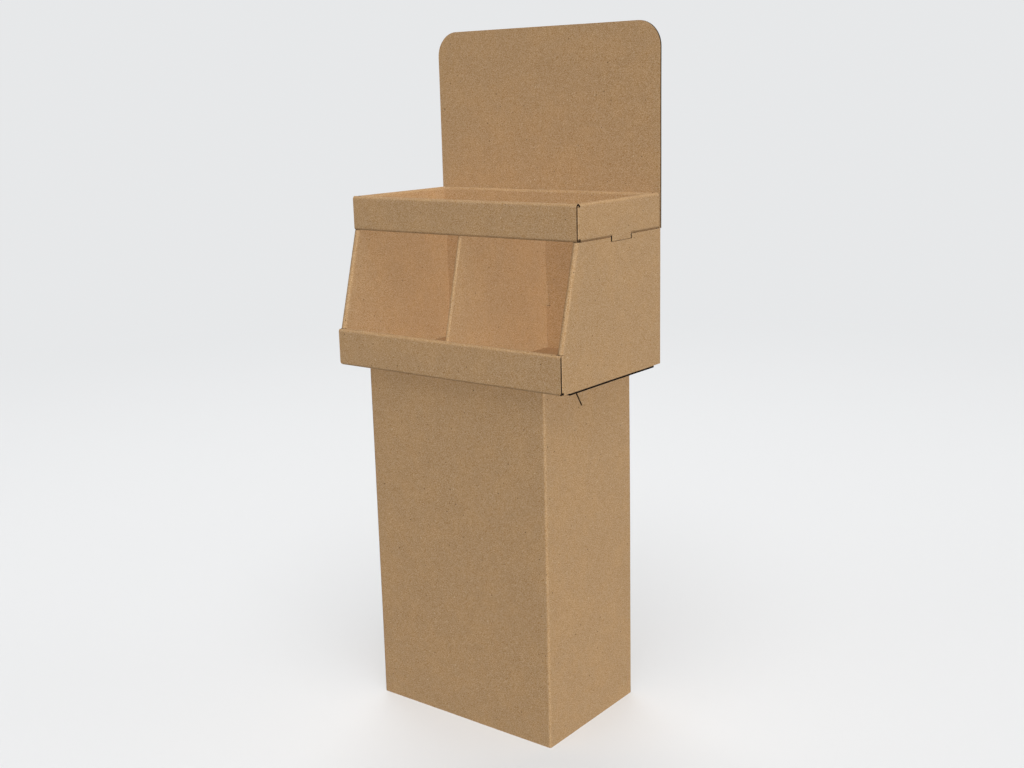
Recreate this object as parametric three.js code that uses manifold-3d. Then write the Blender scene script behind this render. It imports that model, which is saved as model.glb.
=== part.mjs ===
// A tiered floor display of plain brown corrugated board, in millimetres, +Z up, front towards -Y.
// Every piece is one die-cut sheet of the same board, folded and tucked without fasteners.
// A glued column carries a support plate; on that stands a slant-sided shelf unit with a front lip,
// a centre divider and a tall back that rises into a header, and an open tray lies on top of it.
import * as THREE from 'three';
import { mergeVertices } from 'three/addons/utils/BufferGeometryUtils.js';
import Module from 'manifold-3d';

const wasm = await Module();
wasm.setup();

// The board and its folds
const board = 4; // thickness of the sheet
const foldInside = 2; // inside radius of a visible fold
const tightInside = 0.5; // inside radius of a fold pressed over an edge
const doubleWall = 14; // over both layers of a rolled-over wall
const dividerWall = 10; // over both layers of the divider
const arcSteps = 6; // flats in a quarter turn
const clearance = 0.3; // between pieces that slide on one another
const looseFit = 0.5; // between an edge and the wall that it stands against

// The column and its brace
const columnWidth = 510;
const columnDepth = 342;
const columnHeight = 828;
const glueFlap = 35;

// The plate between the column and the shelf unit
const plateInset = 3; // front and back edges behind the column's faces
const plateRim = 8.5; // left outside the window that the tab is folded from
const plateTabWidth = 190;
const plateTabCentre = 22; // behind the middle
const plateTabSlant = 39; // how far the tab's front side leans in
const plateTabRound = 20; // radius of the tab's rear corner

// The shelf unit
const shelfWidth = 641;
const shelfDepth = 401;
const shelfHeight = 312;
const lipHeight = 86;
const lipEarRise = 2; // the ends of the lip's front layer hang free above the plate
const lipEarChamfer = 4;
const slantSetback = 6; // from the lip's front face to the slanted edges at the lip's top
const cornerFlap = 55; // length of a flap that is tucked into a rolled-over wall
const floorFlapHeight = 68;
const linerGap = 4; // between the back panel and the lining in front of it
const linerSideGap = 2; // between the lining's floor and the inner side layers
const dividerSlotWidth = 22.5;
const dividerSlotHeight = 57;
const dividerSlotRise = 103; // from the lining's floor
const dividerSlotShift = 5.25; // the slot's middle is to the right of the divider
const dividerTabLength = 7.5;
const dividerHeadSetback = 4; // its slanted front stands this far behind the tray's face at the top

// The tray and the header
const traySideInset = 2; // side faces within the shelf unit's
const trayDepth = 329;
const trayHeight = 79.5;
const trayTabWidth = 75;
const trayTabStart = 133; // behind the tray's front face
const trayTabDrop = 10;
const trayNotchFront = 7.5; // free space before the tab in its notch
const trayNotchRear = 0.4;
const trayRearGap = 2.5; // the side walls stop short of the tray's back by this
const headerRise = 376.5; // above the tray
const headerCorner = 58;

// Levels and faces that the pieces share
const plateBottom = columnHeight;
const shelfBottom = plateBottom + board;
const floorTop = shelfBottom + board;
const linerTop = floorTop + board;
const lipTop = shelfBottom + lipHeight;
const sideTop = shelfBottom + shelfHeight;
const trayTop = sideTop + trayHeight;
const headerTop = trayTop + headerRise;
const shelfFront = -shelfDepth / 2;
const shelfBack = shelfDepth / 2;
const sideOuter = shelfWidth / 2;
const sideGapOuter = sideOuter - board;
const sideInner = sideOuter - doubleWall;
const sideGapInner = sideInner + board;
const backFace = shelfBack - board;
const linerFace = backFace - linerGap - board;
const trayBack = backFace - clearance;
const trayFront = trayBack - trayDepth;
const trayOuter = sideOuter - traySideInset;
const trayInner = trayOuter - doubleWall;
const overhang = (shelfWidth - columnWidth) / 2;

const foldLine = foldInside + board / 2; // centre line radius of a visible fold
const tightLine = tightInside + board / 2;
const rollLine = (doubleWall - board) / 2; // centre line radius of a roll-over

const sides = [-1, 1];
const reach = 1000; // longer than any piece, for cutting tools
const gridPerMm = 1000; // points are rounded to this grid, so that faces that should meet do

function solidOf(geometry) {
  geometry.deleteAttribute('normal');
  geometry.deleteAttribute('uv');
  const merged = mergeVertices(geometry);
  const positions = merged.attributes.position.array;
  return new wasm.Manifold(new wasm.Mesh({
    numProp: 3,
    vertProperties: Float32Array.from(positions, (value) => Math.round(value * gridPerMm) / gridPerMm),
    triVerts: new Uint32Array(merged.index.array),
  }));
}

function join(pieces) {
  return pieces.reduce((whole, piece) => whole.add(piece));
}

// A block between two values along each axis, given in either order.
function block([x0, x1], [y0, y1], [z0, z1]) {
  const box = new THREE.BoxGeometry(Math.abs(x1 - x0), Math.abs(y1 - y0), Math.abs(z1 - z0));
  return solidOf(box.translate((x0 + x1) / 2, (y0 + y1) / 2, (z0 + z1) / 2));
}

// Planes that an outline is drawn in; the third axis is the one it is extruded along.
const axisX = new THREE.Vector3(1, 0, 0);
const axisY = new THREE.Vector3(0, 1, 0);
const axisZ = new THREE.Vector3(0, 0, 1);
const onXY = new THREE.Matrix4();
const onYZ = new THREE.Matrix4().makeBasis(axisY, axisZ, axisX);
const onXZ = new THREE.Matrix4().makeBasis(axisX, axisZ, axisY.clone().negate());

function extrude(outline, plane, from, to) {
  const points = outline.map((point) => (point.isVector2 ? point : new THREE.Vector2(...point)));
  const shape = new THREE.Shape(points);
  const low = Math.min(from, to);
  const high = Math.max(from, to);
  const geometry = new THREE.ExtrudeGeometry(shape, { depth: high - low, bevelEnabled: false });
  geometry.translate(0, 0, plane === onXZ ? -high : low);
  return solidOf(geometry.applyMatrix4(plane));
}

// The outline of a sheet seen on edge. Each corner of its centre line is [u, v, radius];
// the first and last are the sheet's cut edges.
function foldedOutline(corners) {
  const left = [];
  const right = [];
  const put = (point, normal) => {
    const edge = point.clone().addScaledVector(normal, board / 2);
    const last = left.at(-1);
    if (last && last.distanceTo(edge) < tightInside / arcSteps) return;
    left.push(edge);
    right.push(point.clone().addScaledVector(normal, -board / 2));
  };
  const points = corners.map(([u, v]) => new THREE.Vector2(u, v));
  const headings = points.slice(1).map((point, i) => point.clone().sub(points[i]).normalize());
  const normalOf = (heading) => new THREE.Vector2(-heading.y, heading.x);
  put(points[0], normalOf(headings[0]));
  for (let i = 1; i < points.length - 1; i += 1) {
    const incoming = headings[i - 1];
    const turn = Math.atan2(incoming.cross(headings[i]), incoming.dot(headings[i]));
    const radius = corners[i][2] ?? foldLine;
    const start = points[i].clone().addScaledVector(incoming, -radius * Math.tan(Math.abs(turn) / 2));
    const centre = start.addScaledVector(normalOf(incoming), Math.sign(turn) * radius);
    for (let step = 0; step <= arcSteps; step += 1) {
      const normal = normalOf(incoming).rotateAround(new THREE.Vector2(), (turn * step) / arcSteps);
      put(centre.clone().addScaledVector(normal, -Math.sign(turn) * radius), normal);
    }
  }
  put(points.at(-1), normalOf(headings.at(-1)));
  return [...left, ...right.reverse()];
}

function foldedSheet(corners, plane, from, to) {
  return extrude(foldedOutline(corners), plane, from, to);
}

// A wall of two layers rolled over at the slanted front line, cut off behind and above.
// Its layers lie between xOuter and xInner; its front runs from a foot at the lip's top to a head
// under the tray. The divider's stands a little further back than the sides'.
const slantFoot = new THREE.Vector3(0, shelfFront + slantSetback, lipTop);
const slantHead = new THREE.Vector3(0, trayFront, sideTop);
const dividerFoot = new THREE.Vector3(0, shelfFront + doubleWall + looseFit, lipTop);
const dividerHead = new THREE.Vector3(0, trayFront + dividerHeadSetback, sideTop);

function slantedWall([foot, head], xOuter, xInner, rear, bottom) {
  const along = head.clone().sub(foot).normalize();
  const inward = new THREE.Vector3().crossVectors(along, axisX);
  const inset = Math.sign(xOuter - xInner) * (board / 2);
  const roll = (Math.abs(xOuter - xInner) - board) / 2;
  const outline = foldedOutline([
    [reach, xOuter - inset],
    [board / 2, xOuter - inset, roll],
    [board / 2, xInner + inset, roll],
    [reach, xInner + inset],
  ]);
  const frame = new THREE.Matrix4().makeBasis(inward, axisX, inward.clone().cross(axisX));
  frame.setPosition(head.clone().addScaledVector(along, shelfHeight));
  const bar = extrude(outline, onXY, 0, reach).getMesh();
  const geometry = bufferOf(bar).applyMatrix4(frame);
  const wall = solidOf(geometry);
  return wall.intersect(block([xOuter, xInner], [shelfFront, rear], [bottom, sideTop]));
}

function bufferOf({ vertProperties, triVerts }) {
  const geometry = new THREE.BufferGeometry();
  geometry.setAttribute('position', new THREE.BufferAttribute(new Float32Array(vertProperties), 3));
  geometry.setIndex(new THREE.BufferAttribute(new Uint32Array(triVerts), 1));
  return geometry;
}

// Column: one sheet wrapped round and glued at the rear left corner, open at both ends.
function column() {
  const right = columnWidth / 2 - board / 2;
  const back = columnDepth / 2 - board / 2;
  const flapLine = back - board - clearance;
  return foldedSheet([
    [-columnWidth / 2, back],
    [right, back],
    [right, -back],
    [-right, -back],
    [-right, flapLine],
    [glueFlap - right, flapLine],
  ], onXY, 0, columnHeight);
}

// Brace: two panels on edge inside the column, halved over each other.
function bracePanel(halfSpan, slotFrom, slotTo, plane) {
  const slot = board / 2 + clearance;
  const panel = extrude(rectangle(-halfSpan, halfSpan, 0, columnHeight), plane, -board / 2, board / 2);
  const cut = extrude(rectangle(-slot, slot, slotFrom, slotTo), plane, -board, board);
  return panel.subtract(cut);
}

function rectangle(u0, u1, v0, v1) {
  return [[u0, v0], [u1, v0], [u1, v1], [u0, v1]];
}

function wideBrace() {
  const halfSpan = columnWidth / 2 - board - looseFit;
  return bracePanel(halfSpan, (columnHeight - clearance) / 2, columnHeight + board, onXZ);
}

function deepBrace() {
  const halfSpan = columnDepth / 2 - board - looseFit;
  return bracePanel(halfSpan, -board, (columnHeight + clearance) / 2, onYZ);
}

// Support plate: lies on the column and carries the overhang of the shelf unit. A tab folded down
// out of each end lies against the outside of the column and keeps the plate from sliding.
function supportPlate() {
  const halfDepth = columnDepth / 2 - plateInset;
  const hinge = columnWidth / 2 + tightInside + clearance;
  const tabLine = hinge + board / 2;
  const tabFoot = plateBottom - (overhang - plateRim);
  const front = plateTabCentre - plateTabWidth / 2;
  const rear = plateTabCentre + plateTabWidth / 2;
  const roundCentre = new THREE.Vector2(rear - plateTabRound, tabFoot + plateTabRound);
  const rounded = [];
  for (let step = 0; step <= arcSteps; step += 1) {
    const angle = (-Math.PI / 2) * (1 - step / arcSteps);
    const spoke = new THREE.Vector2(Math.cos(angle), Math.sin(angle)).multiplyScalar(plateTabRound);
    rounded.push(spoke.add(roundCentre));
  }
  const slantedSide = [[front, shelfBottom], [front + plateTabSlant, tabFoot]];
  const tabShape = [...slantedSide, ...rounded, [rear, shelfBottom]];
  let plate = block([-sideOuter, sideOuter], [-halfDepth, halfDepth], [plateBottom, shelfBottom]);
  for (const side of sides) {
    const window = [side * (hinge - board), side * (sideOuter - plateRim)];
    const gap = [front - looseFit, rear + looseFit];
    plate = plate.subtract(block(window, gap, [plateBottom - board, shelfBottom + board]));
    const tab = foldedSheet([
      [side * (hinge - 2 * board), plateBottom + board / 2],
      [side * tabLine, plateBottom + board / 2, tightLine],
      [side * tabLine, tabFoot],
    ], onXZ, front, rear);
    plate = plate.add(tab.intersect(extrude(tabShape, onYZ, side * reach, 0)));
  }
  return plate;
}

// Shelf floor: folded up at the front into the rolled-over lip, and at the sides into flaps that
// stand between the two layers of the side walls.
function shelfFloor() {
  const outerLine = shelfFront + board / 2;
  const innerLine = shelfFront + doubleWall - board / 2;
  const floorLine = shelfBottom + board / 2;
  const topLine = lipTop - board / 2;
  const rollEnd = sideInner - looseFit;
  const flapFace = sideGapOuter - looseFit;
  const lipInside = shelfFront + doubleWall;
  const lipPath = [
    [innerLine, floorTop + looseFit],
    [innerLine, topLine, rollLine],
    [outerLine, topLine, rollLine],
    [outerLine, floorLine],
    [backFace - clearance, floorLine],
  ];
  const rolled = foldedSheet(lipPath, onYZ, -rollEnd, rollEnd);
  const frontLayer = [shelfFront, shelfFront + board];
  const crown = foldedSheet(lipPath, onYZ, -sideOuter, sideOuter)
    .intersect(block([-sideOuter, sideOuter], frontLayer, [lipTop - doubleWall, lipTop]));
  const front = foldedSheet([
    [outerLine, lipTop - doubleWall],
    [outerLine, floorLine],
    [lipInside + board, floorLine],
  ], onYZ, -flapFace, flapFace);
  const earFoot = shelfBottom + lipEarRise;
  const lipWall = extrude([
    [-sideOuter, earFoot + lipEarChamfer],
    [-sideOuter + lipEarChamfer, earFoot],
    [-flapFace, earFoot],
    [-flapFace, floorTop + foldInside],
    [flapFace, floorTop + foldInside],
    [flapFace, earFoot],
    [sideOuter - lipEarChamfer, earFoot],
    [sideOuter, earFoot + lipEarChamfer],
    [sideOuter, lipTop - doubleWall],
    [-sideOuter, lipTop - doubleWall],
  ], onXZ, ...frontLayer);
  const flapLine = flapFace - board / 2;
  const flaps = foldedSheet([
    [-flapLine, floorTop + floorFlapHeight],
    [-flapLine, floorLine],
    [flapLine, floorLine],
    [flapLine, floorTop + floorFlapHeight],
  ], onXZ, lipInside + looseFit, linerFace - doubleWall);
  return join([rolled, crown, front, lipWall, flaps]);
}

// Shelf wrap: the back that rises into the header, both sides with their slanted front edges
// rolled over into an inner layer, and the corner flaps that are tucked into the lip.
function shelfWrap() {
  const sideLine = sideOuter - board / 2;
  const backLine = shelfBack - board / 2;
  const wallFoot = shelfBottom + looseFit;
  const innerRear = linerFace - clearance;
  const flapFace = shelfFront + board + clearance;
  const flapLine = flapFace + board / 2;
  const flapFoot = floorTop + foldInside + looseFit;
  const flapHead = lipTop - doubleWall / 2;
  const cut = lipTop + clearance;
  const behindRoll = slantFoot.y + doubleWall;
  const parts = [
    foldedSheet([
      [-sideLine, 0],
      [-sideLine, backLine],
      [sideLine, backLine],
      [sideLine, 0],
    ], onXY, wallFoot, sideTop),
    header(),
  ];
  for (const side of sides) {
    const outer = [side * sideGapOuter, side * sideOuter];
    const inner = [side * sideInner, side * sideGapInner];
    const lapTop = cut + doubleWall;
    const front = flapLine + board;
    const innerFoot = linerTop + clearance;
    parts.push(slantedWall([slantFoot, slantHead], side * sideOuter, side * sideInner, innerRear, cut));
    parts.push(extrude([
      [behindRoll, lapTop],
      [innerRear, lapTop],
      [innerRear, innerFoot],
      [front, innerFoot],
      [front, cut - board],
    ], onYZ, ...inner));
    parts.push(extrude([
      [behindRoll, lapTop],
      [board, lapTop],
      [board, wallFoot],
      [front, wallFoot],
      [front, cut - board],
    ], onYZ, ...outer));
    const corner = [
      [side * sideLine, 0],
      [side * sideLine, flapLine],
      [side * (sideOuter - cornerFlap), flapLine],
    ];
    const tucked = block([side * (sideInner - looseFit), 0], [shelfFront, 0], [flapHead, cut + board]);
    parts.push(foldedSheet(corner, onXY, flapFoot, lipTop - clearance).subtract(tucked));
  }
  return join(parts).subtract(trayNotches());
}

function header() {
  const outline = [];
  for (const side of [1, -1]) {
    for (let step = 0; step <= 2 * arcSteps; step += 1) {
      const swing = (Math.PI / 2) * (step / (2 * arcSteps));
      const angle = side > 0 ? swing : Math.PI / 2 + swing;
      outline.push([
        side * (sideOuter - headerCorner) + headerCorner * Math.cos(angle),
        headerTop - headerCorner + headerCorner * Math.sin(angle),
      ]);
    }
  }
  const root = sideOuter - doubleWall;
  outline.push([-sideOuter, sideTop], [-root, sideTop], [-root, sideTop - doubleWall]);
  outline.push([root, sideTop - doubleWall], [root, sideTop], [sideOuter, sideTop]);
  return extrude(outline, onXZ, backFace, shelfBack);
}

// Notches in the tops of the sides, which take the tray's tabs.
function trayNotches() {
  const front = trayFront + trayTabStart - trayNotchFront;
  const rear = trayFront + trayTabStart + trayTabWidth + trayNotchRear;
  const foot = sideTop - trayTabDrop - looseFit;
  return join(sides.map((side) => {
    const through = [side * (sideGapOuter - clearance), side * (sideOuter + board)];
    return block(through, [front, rear], [foot, sideTop + board]);
  }));
}

// Shelf lining: a second floor folded up into an inner back, with the slot for the divider's tab.
function shelfLining() {
  const floorEdge = sideInner - linerSideGap;
  const backEdge = sideGapOuter - looseFit;
  const head = sideTop - clearance;
  const folded = foldedSheet([
    [shelfFront + doubleWall + clearance, floorTop + board / 2],
    [linerFace + board / 2, floorTop + board / 2],
    [linerFace + board / 2, head],
  ], onYZ, -floorEdge, floorEdge);
  const back = block([-backEdge, backEdge], [linerFace, linerFace + board], [linerTop + doubleWall, head]);
  const slotFoot = linerTop + dividerSlotRise;
  const slotLeft = dividerSlotShift - dividerSlotWidth / 2;
  const slot = block(
    [slotLeft, slotLeft + dividerSlotWidth],
    [linerFace - board, linerFace + 2 * board],
    [slotFoot, slotFoot + dividerSlotHeight],
  );
  return join([folded, back]).subtract(slot);
}

// Divider: one sheet rolled over at its slanted front, with a tab through the slot in the lining.
function centreDivider() {
  const half = dividerWall / 2;
  const rear = linerFace - clearance;
  const cut = lipTop + looseFit;
  const nose = block([-reach, reach], [-reach, shelfFront + doubleWall + clearance], [0, cut]);
  const upper = slantedWall([dividerFoot, dividerHead], half, -half, rear, cut - board).subtract(nose);
  const tabFoot = linerTop + dividerSlotRise + 2 * clearance;
  const tabHead = tabFoot + dividerSlotHeight - 4 * clearance;
  const layers = sides.map((side) => join([
    block([side * half, side * (half - board)], [dividerFoot.y + half + looseFit, rear], [linerTop, cut]),
    block([side * half, side * (half - board)], [0, linerFace + dividerTabLength], [tabFoot, tabHead]),
  ]));
  const heel = block([-reach, reach], [rear - foldInside, rear + board], [0, linerTop + foldInside]);
  return join([upper, ...layers]).subtract(heel);
}

// Tray: all four walls are rolled over. The front runs the full width, and the side walls are tucked
// in behind it by their corner flaps. At the rear the side walls run past the ends of the back, whose
// corner flaps are tucked into them. A tab under each side wall locks into the shelf unit.
function topTray() {
  const outerLine = trayOuter - board / 2;
  const innerLine = trayInner + board / 2;
  const floorLine = sideTop + board / 2;
  const topLine = trayTop - board / 2;
  const innerFoot = sideTop + board + looseFit;
  const crossWalls = [
    [trayBack - doubleWall + board / 2, innerFoot],
    [trayBack - doubleWall + board / 2, topLine, rollLine],
    [trayBack - board / 2, topLine, rollLine],
    [trayBack - board / 2, floorLine],
    [trayFront + board / 2, floorLine],
    [trayFront + board / 2, topLine, rollLine],
    [trayFront + doubleWall - board / 2, topLine, rollLine],
    [trayFront + doubleWall - board / 2, innerFoot],
  ];
  const sideWalls = [
    [-innerLine, innerFoot],
    [-innerLine, topLine, rollLine],
    [-outerLine, topLine, rollLine],
    [-outerLine, floorLine],
    [outerLine, floorLine],
    [outerLine, topLine, rollLine],
    [innerLine, topLine, rollLine],
    [innerLine, innerFoot],
  ];
  const rim = doubleWall / 2;
  const frontInside = trayFront + doubleWall + clearance;
  const backInside = trayBack - doubleWall - clearance;
  const floorEnd = trayBack - board - foldInside;
  const tubes = foldedSheet(sideWalls, onXZ, frontInside, backInside);
  const longTubes = foldedSheet(sideWalls, onXZ, frontInside, trayBack - trayRearGap);
  const crossInner = foldedSheet(crossWalls, onYZ, looseFit - trayInner, trayInner - looseFit);
  const frontHook = foldedSheet(crossWalls, onYZ, -trayOuter, trayOuter).intersect(join([
    block([-reach, reach], [trayFront, trayFront + rim], [sideTop, trayTop]),
    block([-reach, reach], [trayFront, frontInside], [sideTop, sideTop + board]),
  ]));
  const parts = [tubes, crossInner, frontHook];
  const flapFoot = sideTop + board + foldInside + looseFit;
  const flapHead = trayTop - rim - looseFit;
  const frontFlapLine = trayFront + board + clearance + board / 2;
  const tabFront = trayFront + trayTabStart;
  const tabRange = [tabFront, tabFront + trayTabWidth];
  const pockets = [];
  for (const side of sides) {
    const outer = side * trayOuter;
    parts.push(longTubes.intersect(join([
      block([outer, outer - side * rim], [0, reach], [sideTop, trayTop]),
      block([outer, side * trayInner], [0, reach], [trayTop - rim, trayTop]),
    ])));
    parts.push(block([outer - side * rim, side * (trayInner - board)], [0, floorEnd], [sideTop, sideTop + board]));
    parts.push(foldedSheet([
      [side * (trayOuter - cornerFlap), frontFlapLine],
      [side * outerLine, frontFlapLine],
      [side * outerLine, 0],
    ], onXY, flapFoot, flapHead));
    const tuckedLine = outerLine - board - clearance;
    parts.push(foldedSheet([
      [side * tuckedLine, trayBack - cornerFlap],
      [side * tuckedLine, trayBack - board / 2],
      [0, trayBack - board / 2],
    ], onXY, flapFoot, flapHead));
    parts.push(block([outer, outer - side * board], tabRange, [sideTop - trayTabDrop, flapFoot + board]));
    const beside = [outer - side * board, outer + side * board];
    const floorFold = [sideTop - board, sideTop + board + foldInside];
    const behind = [side * trayInner, outer - side * board];
    pockets.push(block(behind, [tabRange[0] - looseFit, tabRange[1] + looseFit], floorFold));
    pockets.push(block(beside, [tabRange[0] - looseFit, tabRange[0]], floorFold));
    pockets.push(block(beside, [tabRange[1], tabRange[1] + looseFit], floorFold));
  }
  return join(parts).subtract(join(pockets));
}

const kraft = { color: new THREE.Color().setRGB(0.66, 0.54, 0.4, THREE.SRGBColorSpace), roughness: 0.85 };

const display = new THREE.Group();

function place(name, solid) {
  const geometry = bufferOf(solid.getMesh());
  geometry.computeVertexNormals();
  const material = new THREE.MeshStandardMaterial({ ...kraft, metalness: 0 });
  const mesh = new THREE.Mesh(geometry, material);
  mesh.name = name;
  display.add(mesh);
}

place('base_column', column());
place('column_brace_wide', wideBrace());
place('column_brace_deep', deepBrace());
place('support_plate', supportPlate());
place('shelf_floor_and_lip', shelfFloor());
place('shelf_back_sides_header', shelfWrap());
place('shelf_lining', shelfLining());
place('centre_divider', centreDivider());
place('top_tray', topTray());

export default display;
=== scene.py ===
import math
import bmesh
import bpy
from mathutils import Matrix, Vector, noise
from mathutils.bvhtree import BVHTree


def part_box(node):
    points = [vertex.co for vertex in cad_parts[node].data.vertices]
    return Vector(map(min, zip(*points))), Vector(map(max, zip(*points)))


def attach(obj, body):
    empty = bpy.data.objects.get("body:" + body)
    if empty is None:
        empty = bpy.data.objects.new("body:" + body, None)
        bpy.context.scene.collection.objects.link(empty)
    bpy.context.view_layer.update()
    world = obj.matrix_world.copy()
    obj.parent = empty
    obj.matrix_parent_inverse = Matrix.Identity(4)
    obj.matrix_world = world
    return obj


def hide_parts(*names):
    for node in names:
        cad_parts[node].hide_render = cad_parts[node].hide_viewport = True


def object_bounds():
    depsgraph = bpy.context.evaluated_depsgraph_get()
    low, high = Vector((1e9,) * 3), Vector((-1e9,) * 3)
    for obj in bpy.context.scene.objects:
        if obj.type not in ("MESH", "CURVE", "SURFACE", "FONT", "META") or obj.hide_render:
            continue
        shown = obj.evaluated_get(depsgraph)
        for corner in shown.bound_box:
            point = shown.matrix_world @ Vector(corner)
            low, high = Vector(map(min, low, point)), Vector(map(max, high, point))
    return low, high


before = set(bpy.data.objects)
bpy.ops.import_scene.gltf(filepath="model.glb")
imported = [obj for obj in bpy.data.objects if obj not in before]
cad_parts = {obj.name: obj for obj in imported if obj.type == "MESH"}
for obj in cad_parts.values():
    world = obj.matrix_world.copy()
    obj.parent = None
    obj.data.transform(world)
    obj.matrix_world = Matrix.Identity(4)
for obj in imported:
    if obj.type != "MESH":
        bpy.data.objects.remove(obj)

# A tiered floor display of plain brown corrugated board, dressed from its packed sheets.
cadLow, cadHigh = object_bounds()
mm = 0.001
board = {
    "thickness": 4 * mm,
    "flutePitch": 7.5 * mm,
}


# Shader sums written as Python: a Value wraps one output socket
class Value:
    def __init__(self, shader, socket):
        self.shader = shader
        self.socket = socket

    def __add__(self, other):
        return self.shader.math("ADD", self, other)

    def __radd__(self, other):
        return self.shader.math("ADD", other, self)

    def __sub__(self, other):
        return self.shader.math("SUBTRACT", self, other)

    def __rsub__(self, other):
        return self.shader.math("SUBTRACT", other, self)

    def __mul__(self, other):
        return self.shader.math("MULTIPLY", self, other)

    def __rmul__(self, other):
        return self.shader.math("MULTIPLY", other, self)

    def __truediv__(self, other):
        return self.shader.math("DIVIDE", self, other)

    def __rtruediv__(self, other):
        return self.shader.math("DIVIDE", other, self)

    def __abs__(self):
        return self.shader.math("ABSOLUTE", self)

    def high(self, other):
        return self.shader.math("MAXIMUM", self, other)

    def low(self, other):
        return self.shader.math("MINIMUM", self, other)

    def rise(self, start, end):                 # 0 at start, 1 at end, eased
        settings = {"interpolation_type": "SMOOTHSTEP"}
        return self.shader.node("ShaderNodeMapRange", settings, {0: self, 1: start, 2: end})

    def beside(self, output):                   # another output of the same node
        return Value(self.shader, self.socket.node.outputs[output])


class Shader:
    def __init__(self, owner):                  # the owner is a new material or a new world
        owner.use_nodes = True
        self.owner = owner
        self.tree = owner.node_tree
        self.tree.nodes.clear()

    def node(self, kind, settings=None, inputs=None, output=0):
        made = self.tree.nodes.new(kind)
        for key, value in (settings or {}).items():
            setattr(made, key, value)
        for key, value in (inputs or {}).items():
            if isinstance(value, Value):
                self.tree.links.new(value.socket, made.inputs[key])
            else:
                made.inputs[key].default_value = value
        return Value(self, made.outputs[output]) if made.outputs else None

    def math(self, operation, *values):
        return self.node("ShaderNodeMath", {"operation": operation}, dict(enumerate(values)))

    def place(self):
        return self.node("ShaderNodeTexCoord", output="Object")

    def mapped(self, vector, scale, turn):
        return self.node("ShaderNodeMapping", {}, {"Vector": vector, "Scale": scale, "Rotation": turn})

    def noise(self, vector, layer):
        inputs = {"Vector": vector, "Scale": 1 / layer["size"], "Detail": layer["detail"]}
        inputs["Roughness"] = layer["roughness"]
        return self.node("ShaderNodeTexNoise", {}, inputs, "Fac")

    def parts(self, vector):
        first = self.node("ShaderNodeSeparateXYZ", {}, {0: vector})
        return first, first.beside(1), first.beside(2)

    def mix(self, low, high, factor, blend="MIX"):
        settings = {"data_type": "RGBA", "blend_type": blend}
        return self.node("ShaderNodeMix", settings, {0: factor, 6: low, 7: high}, 2)

    def shaded(self, colour, level):            # the colour times a grey level
        grey = self.node("ShaderNodeCombineColor", {}, {0: level, 1: level, 2: level})
        return self.mix(colour, grey, 1.0, "MULTIPLY")

    def flutes(self, run):                      # a wave across the flutes, from -1 to 1
        return self.math("SINE", run)

    def bump(self, height, strength, distance):
        inputs = {"Height": height, "Strength": strength, "Distance": distance}
        return self.node("ShaderNodeBump", {}, inputs)

    def drawnRays(self):                        # 1 for the rays that see the pale studio as it is drawn
        straight = self.node("ShaderNodeLightPath", output="Is Camera Ray")
        mirrored = straight.beside("Is Glossy Ray")
        through = straight.beside("Is Transmission Ray")
        return straight.high(mirrored).high(through)

    def surface(self, inputs):
        shade = self.node("ShaderNodeBsdfPrincipled", {}, inputs)
        self.node("ShaderNodeOutputMaterial", {}, {"Surface": shade})
        return self.owner


def linear(red, green, blue):                   # a screen colour turned into levels of light
    def decode(level):
        return level / 12.92 if level <= 0.04045 else ((level + 0.055) / 1.055) ** 2.4
    return (decode(red), decode(green), decode(blue), 1.0)


fleck = {
    "cell": 15 * mm,
    "share": 0.5,              # share of the cells that hold a fleck
    "onset": 0.01,             # how sharply a cell has one or none
    "radius": 2.3 * mm,
    "smallest": 0.45,          # of that radius
    "softness": 0.6,
}
darkFleck = {"colour": linear(0.33, 0.25, 0.17), "cover": 0.8, "spacing": 1.0, "shift": (3, 3, 3)}
paleFleck = {"colour": linear(0.84, 0.77, 0.66), "cover": 0.5, "spacing": 1.15, "shift": (7, 7, 7)}


def flecked(shader, colour, where, kind):
    shifted = shader.node("ShaderNodeVectorMath", {"operation": "ADD"}, {0: where, 1: kind["shift"]})
    cell = fleck["cell"] * kind["spacing"]
    distance = shader.node(
        "ShaderNodeTexVoronoi", {"feature": "F1"}, {"Vector": shifted, "Scale": 1 / cell}, "Distance",
    )
    chance, size, _ = shader.parts(distance.beside("Color"))
    reach = (fleck["smallest"] + size * (1 - fleck["smallest"])) * (fleck["radius"] / cell)
    spot = (1 - distance / reach).rise(0.0, fleck["softness"])
    rarest = 1 - fleck["share"]
    present = chance.rise(rarest, rarest + fleck["onset"])
    return shader.mix(colour, kind["colour"], spot * present * kind["cover"])


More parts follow.
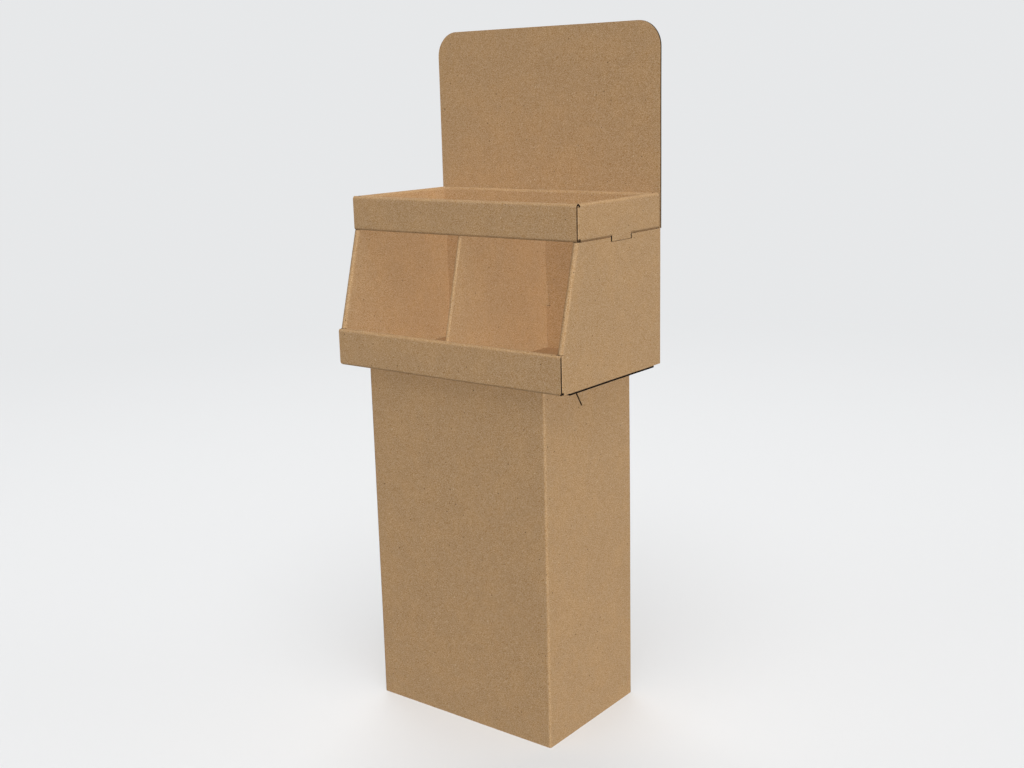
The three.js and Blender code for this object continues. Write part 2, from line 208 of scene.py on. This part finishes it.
liner = {
    "brown": linear(0.672, 0.549, 0.405),
    "spread": (0.30, 0.44, 0.70),      # how far each channel of the fibres strays: pale ones are greyer
    "cloud": {"size": 90 * mm, "detail": 3.0, "roughness": 0.55, "depth": 0.16},
    "patch": {"size": 22 * mm, "detail": 3.0, "roughness": 0.6, "depth": 0.16, "relief": 0.5},
    "grain": {"size": 4.2 * mm, "detail": 2.0, "roughness": 0.7, "depth": 0.15, "relief": 0.4},
    "dust": {"size": 1.9 * mm, "detail": 1.0, "roughness": 0.5, "depth": 2.0, "relief": 0.2},
    "turn": (0.62, 0.81, 0.37),        # no face lies along the cells of the noise
    "ochre": (1.02, 0.99, 0.93, 1.0),  # tint of the soft warm clouds in recycled paper
    "ochreFromClouds": 0.6,
    "ochreStart": 0.42, "ochreEnd": 0.62,
    "foldWearAndPaintedHighlight": 0.04,          # the stretched liner on a fold is paler, and the same lift paints a highlight on faces turned between front, side and top
    "foldReach": 0.24,
    "sideStart": 0.5, "sideEnd": 0.6,  # how squarely a face looks sideways to count as a side
    "ribRelief": 0.10,         # the flutes show faintly through the paper
    "bumpStrength": 0.25, "bumpDepth": 0.4 * mm,
    "roughness": 0.86, "roughnessSpread": 0.2,
    "specular": 0.25,
}
fibre = {
    "length": 11 * mm, "width": 1.2 * mm,
    "size": 1.0,               # its coordinates are already scaled by length and width
    "detail": 2.0, "roughness": 0.6,
    "depth": 0.22, "relief": 0.4,
    "crossing": (0.5, 0.9, 0.4),       # turn of the second set of strands
}


def fibres(shader, where):
    long, thin = 1 / fibre["length"], 1 / fibre["width"]
    strands = shader.noise(shader.mapped(where, (long, long, thin), (0, 0, 0)), fibre)
    crossed = shader.noise(shader.mapped(where, (long, thin, long), fibre["crossing"]), fibre)
    return (strands + crossed) * 0.5


def linerMaterial(name, fluteAxis):
    shader = Shader(bpy.data.materials.new(name))
    where = shader.place()
    turned = shader.mapped(where, (1, 1, 1), liner["turn"])
    cloud = shader.noise(turned, liner["cloud"])
    patch = shader.noise(turned, liner["patch"])
    grain = shader.noise(turned, liner["grain"])
    dust = shader.noise(turned, liner["dust"])
    strands = fibres(shader, where)
    tone = (
        0.5
        + (cloud - 0.5) * liner["cloud"]["depth"]
        + (patch - 0.5) * liner["patch"]["depth"]
        + (grain - 0.5) * liner["grain"]["depth"]
        + (dust - 0.5) * liner["dust"]["depth"]
        + (strands - 0.5) * fibre["depth"]
    )
    pairs = list(zip(liner["brown"], liner["spread"]))
    deepest = [level * (1 - stray) for level, stray in pairs] + [1.0]
    palest = [level * (1 + stray) for level, stray in pairs] + [1.0]
    paper = shader.mix(deepest, palest, tone)

    warmth = cloud * liner["ochreFromClouds"] + patch * (1 - liner["ochreFromClouds"])
    warmed = warmth.rise(liner["ochreStart"], liner["ochreEnd"])
    ochre = shader.mix((1, 1, 1, 1), liner["ochre"], warmed)
    warm = shader.mix(paper, ochre, 1.0, "MULTIPLY")

    normal = shader.node("ShaderNodeNewGeometry", output="Normal")
    facingX, facingY, facingZ = [abs(part) for part in shader.parts(normal)]
    # fold wear and painted highlight: faces turned between the main directions, as on the rounded folds,
    # are made paler
    foldWearAndHighlightMask = (1 - facingX.high(facingY).high(facingZ)).rise(0.0, liner["foldReach"])
    foldWornAndHighlighted = shader.shaded(warm, 1 + foldWearAndHighlightMask * liner["foldWearAndPaintedHighlight"])
    darkened = flecked(shader, foldWornAndHighlighted, turned, darkFleck)
    colour = flecked(shader, darkened, turned, paleFleck)

    alongX, alongY, alongZ = shader.parts(where)
    onSide = facingX.rise(liner["sideStart"], liner["sideEnd"])
    run = alongX * (1 - onSide) + (alongY if fluteAxis == "z" else alongZ) * onSide
    ribs = shader.flutes(run * (2 * math.pi / board["flutePitch"]))
    height = (
        patch * liner["patch"]["relief"]
        + grain * liner["grain"]["relief"]
        + dust * liner["dust"]["relief"]
        + strands * fibre["relief"]
        + ribs * liner["ribRelief"]
    )
    return shader.surface({
        "Base Color": colour,
        "Roughness": liner["roughness"] + (grain - 0.5) * liner["roughnessSpread"],
        "Normal": shader.bump(height, liner["bumpStrength"], liner["bumpDepth"]),
        "Specular IOR Level": liner["specular"],
    })


cutEdge = {
    # the cut paper, darker than the liner: partly its own colour, partly painted shade inside the edge
    "paper": linear(0.235, 0.175, 0.12),
    # painted shade: the open flutes inside a cut edge are coloured near black where only shade falls
    "hollowPaintedShade": linear(0.045, 0.034, 0.026),
    "liner": 0.085,            # share of the thickness that each liner takes
    "linerFade": 1.4,          # it has faded out at this many times its share
    "wave": 0.36,              # how far the fluted sheet swings from the middle, in thicknesses
    "medium": 0.055,           # half the thickness of the fluted sheet
    "mediumFade": 1.8,
    "crush": {"size": 5 * mm, "detail": 2.0, "roughness": 0.5, "depth": 0.25},
    "crushAlong": 4, "crushAcross": 0.4,       # how far the blade pushed the flutes over
    "fuzz": {"size": 0.7 * mm, "detail": 2.0, "roughness": 0.5, "depth": 0.5, "relief": 0.3},
    "bumpStrength": 0.6, "bumpDepth": 0.6 * mm,
    "roughness": 0.95,
    "specular": 0.1,
}


# the cut edge of the board, with painted shade in its open flutes and over its cut paper
def edgeMaterial():
    shader = Shader(bpy.data.materials.new("cutBoardEdge"))
    spot = shader.node("ShaderNodeUVMap", {"uv_map": "board"})
    along, across, _ = shader.parts(spot)
    where = shader.place()
    crush = (shader.noise(where, cutEdge["crush"]) - 0.5) * cutEdge["crush"]["depth"]
    run = along * (2 * math.pi / board["flutePitch"]) + crush * cutEdge["crushAlong"]
    wave = shader.flutes(run) * cutEdge["wave"]
    off = abs(across - 0.5 - wave - crush * cutEdge["crushAcross"])
    medium = 1 - off.rise(cutEdge["medium"], cutEdge["medium"] * cutEdge["mediumFade"])
    inset = across.low(1 - across)
    skin = 1 - inset.rise(cutEdge["liner"], cutEdge["liner"] * cutEdge["linerFade"])
    solid = medium.high(skin)
    fuzz = shader.noise(where, cutEdge["fuzz"])
    paper = shader.shaded(cutEdge["paper"], 1 + (fuzz - 0.5) * cutEdge["fuzz"]["depth"])
    height = solid + fuzz * cutEdge["fuzz"]["relief"]
    return shader.surface({
        # painted shade fills the open flutes; the paper strips keep a darkened paper colour
        "Base Color": shader.mix(cutEdge["hollowPaintedShade"], paper, solid),
        "Roughness": cutEdge["roughness"],
        "Normal": shader.bump(height, cutEdge["bumpStrength"], cutEdge["bumpDepth"]),
        "Specular IOR Level": cutEdge["specular"],
    })


sheet = {
    "weldDistance": 0.02 * mm,
    "flatAngle": math.radians(0.4),
    "sharpAngle": math.radians(35),
    "panelFace": 0, "cutFace": 1,      # material slots
    "deepest": 1.2,            # a panel has its far side within this many thicknesses
    "rayStart": 0.01 * mm,
    "squarely": 0.7,           # an edge runs along an axis from this share of its direction on
    "fluteDrift": 0.06,        # along a flute its paper wanders slowly
    "cutSpacing": 42 * mm,     # of the cuts that let a panel bend a little
    "cutTolerance": 0.001 * mm,
    "normalWeight": 90,
}


def markCutEdges(bm):
    tree = BVHTree.FromBMesh(bm)
    widest = {}
    for loops in bm.calc_loop_triangles():
        face = loops[0].face
        a, b, c = [loop.vert.co for loop in loops]
        area = (b - a).cross(c - a).length
        if area > widest.get(face, (0, None))[0]:
            widest[face] = (area, (a + b + c) / 3)
    for face, (_, middle) in widest.items():
        inward = -face.normal
        hit, _, _, depth = tree.ray_cast(middle + inward * sheet["rayStart"], inward)
        isPanel = hit is not None and depth < board["thickness"] * sheet["deepest"]
        face.material_index = sheet["panelFace"] if isPanel else sheet["cutFace"]


def bordersPanel(edge):
    return any(face.material_index == sheet["panelFace"] for face in edge.link_faces)


def mapCutEdge(face, uvLayer, fluteAxis):       # u runs along the cut edge, v across it from 0 to 1
    borders = [edge for edge in face.edges if bordersPanel(edge)]
    longest = max(borders or face.edges, key=lambda edge: edge.calc_length())
    along = (longest.verts[1].co - longest.verts[0].co).normalized()
    if max(along, key=abs) < 0:
        along.negate()
    across = face.normal.cross(along)
    foot = min(loop.vert.co.dot(across) for loop in face.loops)
    if fluteAxis == "z":
        alongFlutes = abs(along.z) > sheet["squarely"]
    else:
        alongFlutes = abs(along.x) < sheet["squarely"]
    pace = sheet["fluteDrift"] if alongFlutes else 1.0
    for loop in face.loops:
        spot = loop.vert.co
        loop[uvLayer].uv = (spot.dot(along) * pace, (spot.dot(across) - foot) / board["thickness"])


def mergedSheet(node):                          # the node's loose triangles joined into flat panels
    bm = bmesh.new()
    bm.from_mesh(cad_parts[node].data)
    bmesh.ops.remove_doubles(bm, verts=bm.verts, dist=sheet["weldDistance"])
    bmesh.ops.dissolve_limit(
        bm, angle_limit=sheet["flatAngle"], use_dissolve_boundaries=False, verts=bm.verts, edges=bm.edges,
    )
    bm.normal_update()
    return bm


def cutPanels(bm, low, high):
    for axis in range(3):
        length = high[axis] - low[axis]
        count = int(length / sheet["cutSpacing"])
        normal = Vector((0, 0, 0))
        normal[axis] = 1.0
        for step in range(1, count + 1):
            spot = Vector(low)
            spot[axis] += length * step / (count + 1)
            everything = bm.verts[:] + bm.edges[:] + bm.faces[:]
            bmesh.ops.bisect_plane(
                bm, geom=everything, dist=sheet["cutTolerance"], plane_co=spot, plane_no=normal,
            )
    bm.normal_update()


def smoothFolds(bm):
    for face in bm.faces:
        face.smooth = True
    for edge in bm.edges:
        kinds = {face.material_index for face in edge.link_faces}
        edge.smooth = len(kinds) == 1 and edge.calc_face_angle(0.0) < sheet["sharpAngle"]


sway = {                       # how far real board strays from a ruler
    "wide": 0.9 * mm, "wideSize": 420 * mm,
    "near": 0.22 * mm, "nearSize": 95 * mm,
    "nearShift": Vector((5, 3, 8)),
    "settle": 60 * mm,         # below this height it strays less up and down, and not at all at the foot
    "seed": 3,                 # the same board on every run
}


def strayed(point):
    wide = noise.noise_vector(point / sway["wideSize"]) * sway["wide"]
    near = noise.noise_vector(point / sway["nearSize"] + sway["nearShift"]) * sway["near"]
    moved = wide + near
    moved.z *= min(1.0, max(0.0, point.z / sway["settle"]))
    return point + moved


def bendPanels(bm):                             # no corner leaves the box of the whole stand
    for vert in bm.verts:
        moved = strayed(vert.co)
        vert.co = [min(max(moved[axis], cadLow[axis]), cadHigh[axis]) for axis in range(3)]


def makeObject(name, bm, materials):
    mesh = bpy.data.meshes.new(name)
    bm.to_mesh(mesh)
    bm.free()
    for material in materials:
        mesh.materials.append(material)
    made = bpy.data.objects.new(name, mesh)
    bpy.context.scene.collection.objects.link(made)
    return made


def dressSheet(node, fluteAxis, materials):
    bm = mergedSheet(node)
    markCutEdges(bm)
    low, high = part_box(node)
    cutPanels(bm, low, high)
    uvLayer = bm.loops.layers.uv.new("board")
    for face in bm.faces:
        if face.material_index == sheet["cutFace"]:
            mapCutEdge(face, uvLayer, fluteAxis)
    smoothFolds(bm)
    bendPanels(bm)
    piece = makeObject(node + "_sheet", bm, materials)
    weighted = piece.modifiers.new("evenNormals", "WEIGHTED_NORMAL")
    weighted.keep_sharp = True
    weighted.weight = sheet["normalWeight"]
    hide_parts(node)
    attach(piece, "root")
    print("dressed", node, "with", len(piece.data.polygons), "faces")


fluteAxes = {                  # "z" where the flutes stand upright, "y" where they run from front to back
    "base_column": "z",
    "column_brace_wide": "z",
    "column_brace_deep": "z",
    "support_plate": "y",
    "shelf_floor_and_lip": "y",
    "shelf_back_sides_header": "z",
    "shelf_lining": "y",
    "centre_divider": "z",
    "top_tray": "y",
}
edges = edgeMaterial()
skins = {axis: linerMaterial("kraftLiner_" + axis, axis) for axis in "yz"}
print("board materials ready")
noise.seed_set(sway["seed"])
for node, axis in fluteAxes.items():
    dressSheet(node, axis, [skins[axis], edges])


studio = {
    "floor": linear(0.91, 0.914, 0.918),
    "bounce": linear(0.38, 0.38, 0.38),        # what the floor throws back at the object
    "floorRoughness": 0.9, "floorSpecular": 0.1,
    "floorRadius": 9.0, "floorCorners": 96,
    "fadeStart": 1.6, "fadeEnd": 5.5,
    "backdrop": linear(0.905, 0.91, 0.915),
    "ambient": 0.06,
}


def makeFloor():
    shader = Shader(bpy.data.materials.new("studioFloor"))
    distance = shader.node("ShaderNodeVectorMath", {"operation": "LENGTH"}, {0: shader.place()}, "Value")
    rays = shader.drawnRays()
    fade = distance.rise(studio["fadeStart"], studio["fadeEnd"]) * rays
    paper = shader.node("ShaderNodeBsdfPrincipled", {}, {
        "Base Color": shader.mix(studio["bounce"], studio["floor"], rays),
        "Roughness": studio["floorRoughness"],
        "Specular IOR Level": studio["floorSpecular"],
    })
    glow = shader.node("ShaderNodeEmission", {}, {"Color": studio["backdrop"]})
    blended = shader.node("ShaderNodeMixShader", {}, {0: fade, 1: paper, 2: glow})
    shader.node("ShaderNodeOutputMaterial", {}, {"Surface": blended})
    bm = bmesh.new()
    corners = studio["floorCorners"]
    bmesh.ops.create_circle(bm, cap_ends=True, segments=corners, radius=studio["floorRadius"])
    makeObject("studioFloor", bm, [shader.owner])


def makeWorld():
    world = bpy.data.worlds.new("studioWorld")
    bpy.context.scene.world = world
    shader = Shader(world)
    white = linear(1, 1, 1)
    light = shader.node("ShaderNodeBackground", {}, {"Color": white, "Strength": studio["ambient"]})
    drawn = shader.node("ShaderNodeBackground", {}, {"Color": studio["backdrop"]})
    picked = shader.node("ShaderNodeMixShader", {}, {0: shader.drawnRays(), 1: light, 2: drawn})
    shader.node("ShaderNodeOutputWorld", {}, {"Surface": picked})


lampDistance = 4.0             # metres; a sun shines the same from any distance
lamps = {                      # where each one shines from, its strength and how wide it is in degrees
    "topKey": {"from": (0.25, -0.30, 0.92), "strength": 1.25, "spread": 50, "shadow": True},
    "lowFill": {"from": (0.80, -0.59, -0.12), "strength": 1.45, "spread": 30, "shadow": False},
    "highFill": {"from": (0.62, -0.44, 0.65), "strength": 1.5, "spread": 30, "shadow": False},
    "rightRearFill": {"from": (0.80, 0.50, 0.33), "strength": 0.55, "spread": 30, "shadow": False},
    "leftFrontFill": {"from": (-0.50, -0.80, 0.33), "strength": 0.5, "spread": 30, "shadow": False},
    "backFill": {"from": (-0.68, 0.70, 0.20), "strength": 2.3, "spread": 70, "shadow": True},
}


def makeLamps():
    for name, lamp in lamps.items():
        data = bpy.data.lights.new(name, "SUN")
        data.energy = lamp["strength"]
        data.angle = math.radians(lamp["spread"])
        data.use_shadow = lamp["shadow"]
        made = bpy.data.objects.new(name, data)
        made.location = Vector(lamp["from"]) * lampDistance
        made.rotation_euler = Vector(lamp["from"]).to_track_quat("Z", "Y").to_euler()
        bpy.context.scene.collection.objects.link(made)


camera = {
    "at": (1.7995, -2.2729, 1.4363),
    "azimuth": math.radians(37.783),
    "down": math.radians(12.713),
    "roll": math.radians(-1.447),
    "focalPixels": 1262.6, "frameWidth": 1024, "sensor": 36.0,
    "clipEnd": 60,
}


def makeCamera():
    data = bpy.data.cameras.new("photoCamera")
    data.sensor_width = camera["sensor"]
    data.lens = camera["focalPixels"] * camera["sensor"] / camera["frameWidth"]
    data.clip_end = camera["clipEnd"]
    turn, down, roll = camera["azimuth"], camera["down"], camera["roll"]
    ahead = Vector((-math.sin(turn) * math.cos(down), math.cos(turn) * math.cos(down), -math.sin(down)))
    right = Vector((math.cos(turn), math.sin(turn), 0))
    above = right.cross(ahead)
    tilted = right * math.cos(roll) + above * math.sin(roll)
    upward = above * math.cos(roll) - right * math.sin(roll)
    facing = Matrix((tilted, upward, -ahead)).transposed().to_4x4()
    eye = bpy.data.objects.new("photoCamera", data)
    bpy.context.scene.collection.objects.link(eye)
    eye.matrix_world = Matrix.Translation(camera["at"]) @ facing
    bpy.context.scene.camera = eye


makeFloor()
makeWorld()
makeLamps()
makeCamera()
bpy.context.scene.view_settings.view_transform = "Standard"
print("studio ready")
